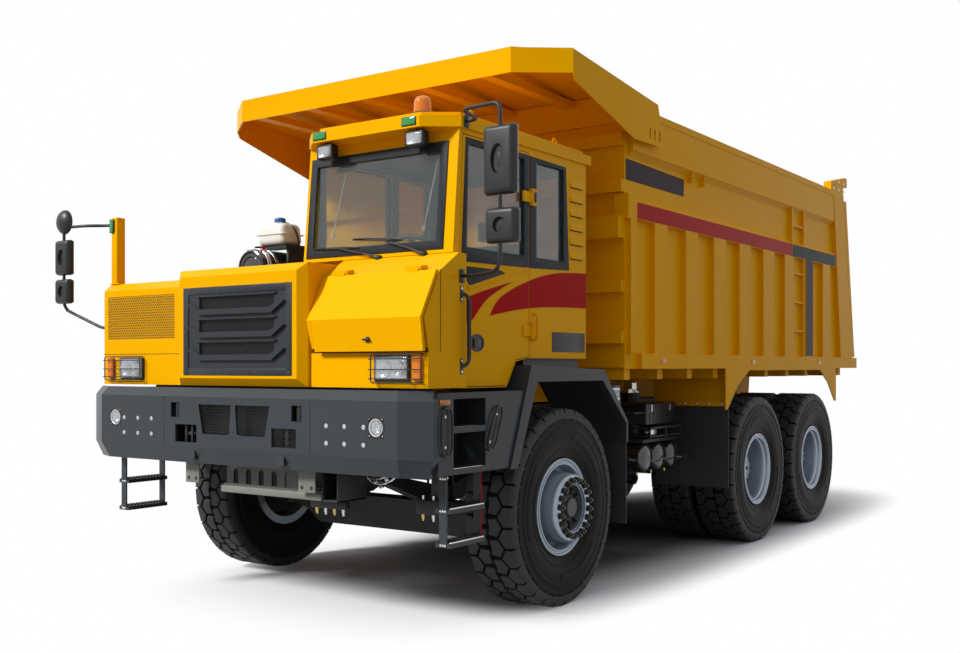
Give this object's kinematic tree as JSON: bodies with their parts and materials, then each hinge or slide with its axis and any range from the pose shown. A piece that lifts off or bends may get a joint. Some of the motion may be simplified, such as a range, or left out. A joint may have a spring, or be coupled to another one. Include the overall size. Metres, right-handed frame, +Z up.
{
  "type": "wide-body mining dump truck",
  "caption": "Wide-body mining dump truck with an offset cab, steered front axle, driven rear axles on dual wheels and a rear-tipping body with a canopy over the cab.",
  "frame": {"origin": "on the ground, at the centre of the truck's bounding box", "axes": "+Z up, -Y towards the nose (the direction of travel), +X towards the driver's side (the truck's own left)"},
  "size_m": [4.5, 9.02, 4.17],
  "materials": {
    "yellow_paint": "gloss yellow body paint",
    "grey_paint": "satin dark grey paint",
    "black_paint": "satin black chassis paint",
    "silver_paint": "silver wheel paint",
    "tyre": "ribbed black tyre rubber",
    "rubber": "plain black sheet rubber",
    "cast_iron": "black painted castings",
    "glass": "lightly tinted safety glass",
    "black_plastic": "moulded black plastic",
    "lamp": "clear lamp lens",
    "white_plastic": "translucent white plastic",
    "steel": "chromed hoist stages",
    "seat_fabric": "dark seat cloth and trim"
  },
  "bodies": {
    "root": {"chassis_frame": "black_paint", "hoist_feet": "black_paint", "engine_block": "cast_iron", "front_bumper": "grey_paint", "radiator_guard": "black_paint", "engine_hood": "yellow_paint", "engine_cover": "yellow_paint", "grille": "grey_paint", "cooler_housing": "yellow_paint", "mirror_post": "yellow_paint", "cab_shell": "yellow_paint", "cab_roof": "yellow_paint", "cab_glass": "glass", "cab_nose": "yellow_paint", "driver_seat": "seat_fabric", "cab_interior": "black_plastic", "headlamps": "lamp", "roof_lamps": "lamp", "mirrors": "black_plastic", "air_cleaner": "black_paint", "coolant_tank": "white_plastic", "front_wings": "grey_paint", "mud_flaps": "rubber", "access_steps": "grey_paint", "side_tanks": "black_paint", "fuel_tank": "black_paint", "front_axle": "cast_iron", "rear_axles": "cast_iron", "drive_shafts": "cast_iron", "rear_springs": "cast_iron"},
    "cab_door": {"cab_door": "yellow_paint", "door_glass": "glass"},
    "front_hatch": {"front_hatch": "yellow_paint"},
    "left_knuckle": {"left_knuckle": "cast_iron"},
    "right_knuckle": {"right_knuckle": "cast_iron"},
    "tie_rod": {"tie_rod": "cast_iron"},
    "left_front_wheel": {"left_front_tyre": "tyre", "left_front_rim": "silver_paint"},
    "right_front_wheel": {"right_front_tyre": "tyre", "right_front_rim": "silver_paint"},
    "left_second_wheels": {"left_second_tyres": "tyre", "left_second_rims": "silver_paint"},
    "right_second_wheels": {"right_second_tyres": "tyre", "right_second_rims": "silver_paint"},
    "left_third_wheels": {"left_third_tyres": "tyre", "left_third_rims": "silver_paint"},
    "right_third_wheels": {"right_third_tyres": "tyre", "right_third_rims": "silver_paint"},
    "hoist_barrels": {"hoist_barrels": "black_paint"},
    "hoist_stage_1": {"hoist_stage_1": "steel"},
    "hoist_stage_2": {"hoist_stage_2": "steel"},
    "hoist_stage_3": {"hoist_stage_3": "steel"},
    "hoist_stage_4": {"hoist_stage_4": "steel"},
    "bed": {"bed_body": "yellow_paint", "canopy": "yellow_paint", "bed_underframe": "yellow_paint", "bed_brackets": "yellow_paint", "bed_flaps": "rubber"},
    "tailgate": {"tailgate": "yellow_paint"}
  },
  "joints": [
    {"name": "steer", "type": "hinge", "parent": "root", "child": "left_knuckle", "pos_m": [1.2, -2.71, 0.7475], "axis": [0, 0, 1], "range_deg": [-35, 35]},
    {"name": "steer_right", "type": "hinge", "parent": "root", "child": "right_knuckle", "pos_m": [-1.2, -2.71, 0.7475], "axis": [0, 0, 1], "range_deg": [-35.5, 35.5]},
    {"name": "tie_rod_pin", "type": "hinge", "parent": "left_knuckle", "child": "tie_rod", "pos_m": [1.2, -2.48, 0.54], "axis": [0, 0, 1], "range_deg": [-35.5, 35.5]},
    {"name": "left_front_spin", "type": "hinge", "parent": "left_knuckle", "child": "left_front_wheel", "pos_m": [1.454, -2.71, 0.7475], "axis": [1, 0, 0], "continuous": true},
    {"name": "right_front_spin", "type": "hinge", "parent": "right_knuckle", "child": "right_front_wheel", "pos_m": [-1.454, -2.71, 0.7475], "axis": [1, 0, 0], "continuous": true},
    {"name": "left_second_spin", "type": "hinge", "parent": "root", "child": "left_second_wheels", "pos_m": [1.535, 1.104, 0.7475], "axis": [1, 0, 0], "continuous": true},
    {"name": "right_second_spin", "type": "hinge", "parent": "root", "child": "right_second_wheels", "pos_m": [-1.535, 1.104, 0.7475], "axis": [1, 0, 0], "continuous": true},
    {"name": "left_third_spin", "type": "hinge", "parent": "root", "child": "left_third_wheels", "pos_m": [1.535, 2.833, 0.7475], "axis": [1, 0, 0], "continuous": true},
    {"name": "right_third_spin", "type": "hinge", "parent": "root", "child": "right_third_wheels", "pos_m": [-1.535, 2.833, 0.7475], "axis": [1, 0, 0], "continuous": true},
    {"name": "door_swing", "type": "hinge", "parent": "root", "child": "cab_door", "pos_m": [1.628, -3.128, 2.5], "axis": [0, 0, 1], "range_deg": [0, 70]},
    {"name": "hatch_lift", "type": "hinge", "parent": "root", "child": "front_hatch", "pos_m": [1.2, -4.318, 2.443], "axis": [1, 0, 0], "range_deg": [-70, 0]},
    {"name": "bed_tip", "type": "hinge", "parent": "root", "child": "bed", "pos_m": [0, 3.69, 1.36], "axis": [-1, 0, 0], "range_deg": [0, 45]},
    {"name": "tailgate_swing", "type": "hinge", "parent": "bed", "child": "tailgate", "pos_m": [0, 4.03, 4.11], "axis": [1, 0, 0], "range_deg": [0, 60]},
    {"name": "hoist_swing", "type": "hinge", "parent": "root", "child": "hoist_barrels", "pos_m": [0.66, 0.29, 0.66], "axis": [-1, 0, 0], "range_deg": [-0.5, 20.39]},
    {"name": "stage_1_slide", "type": "slide", "parent": "hoist_barrels", "child": "hoist_stage_1", "axis": [0, 0, 1], "range_m": [-0.005, 0.6442]},
    {"name": "stage_2_slide", "type": "slide", "parent": "hoist_stage_1", "child": "hoist_stage_2", "axis": [0, 0, 1], "range_m": [-0.005, 0.6442]},
    {"name": "stage_3_slide", "type": "slide", "parent": "hoist_stage_2", "child": "hoist_stage_3", "axis": [0, 0, 1], "range_m": [-0.005, 0.6442]},
    {"name": "stage_4_slide", "type": "slide", "parent": "hoist_stage_3", "child": "hoist_stage_4", "axis": [0, 0, 1], "range_m": [-0.005, 0.6442]}
  ],
  "couplings": [
    {"joint": "steer_right", "follows": "steer", "ratio": 1},
    {"joint": "tie_rod_pin", "follows": "steer", "ratio": -1},
    {"joint": "hoist_swing", "follows": "bed_tip", "ratio": 0.44211},
    {"joint": "stage_1_slide", "follows": "bed_tip", "m_per_rad": 0.81391},
    {"joint": "stage_2_slide", "follows": "bed_tip", "m_per_rad": 0.81391},
    {"joint": "stage_3_slide", "follows": "bed_tip", "m_per_rad": 0.81391},
    {"joint": "stage_4_slide", "follows": "bed_tip", "m_per_rad": 0.81391}
  ]
}
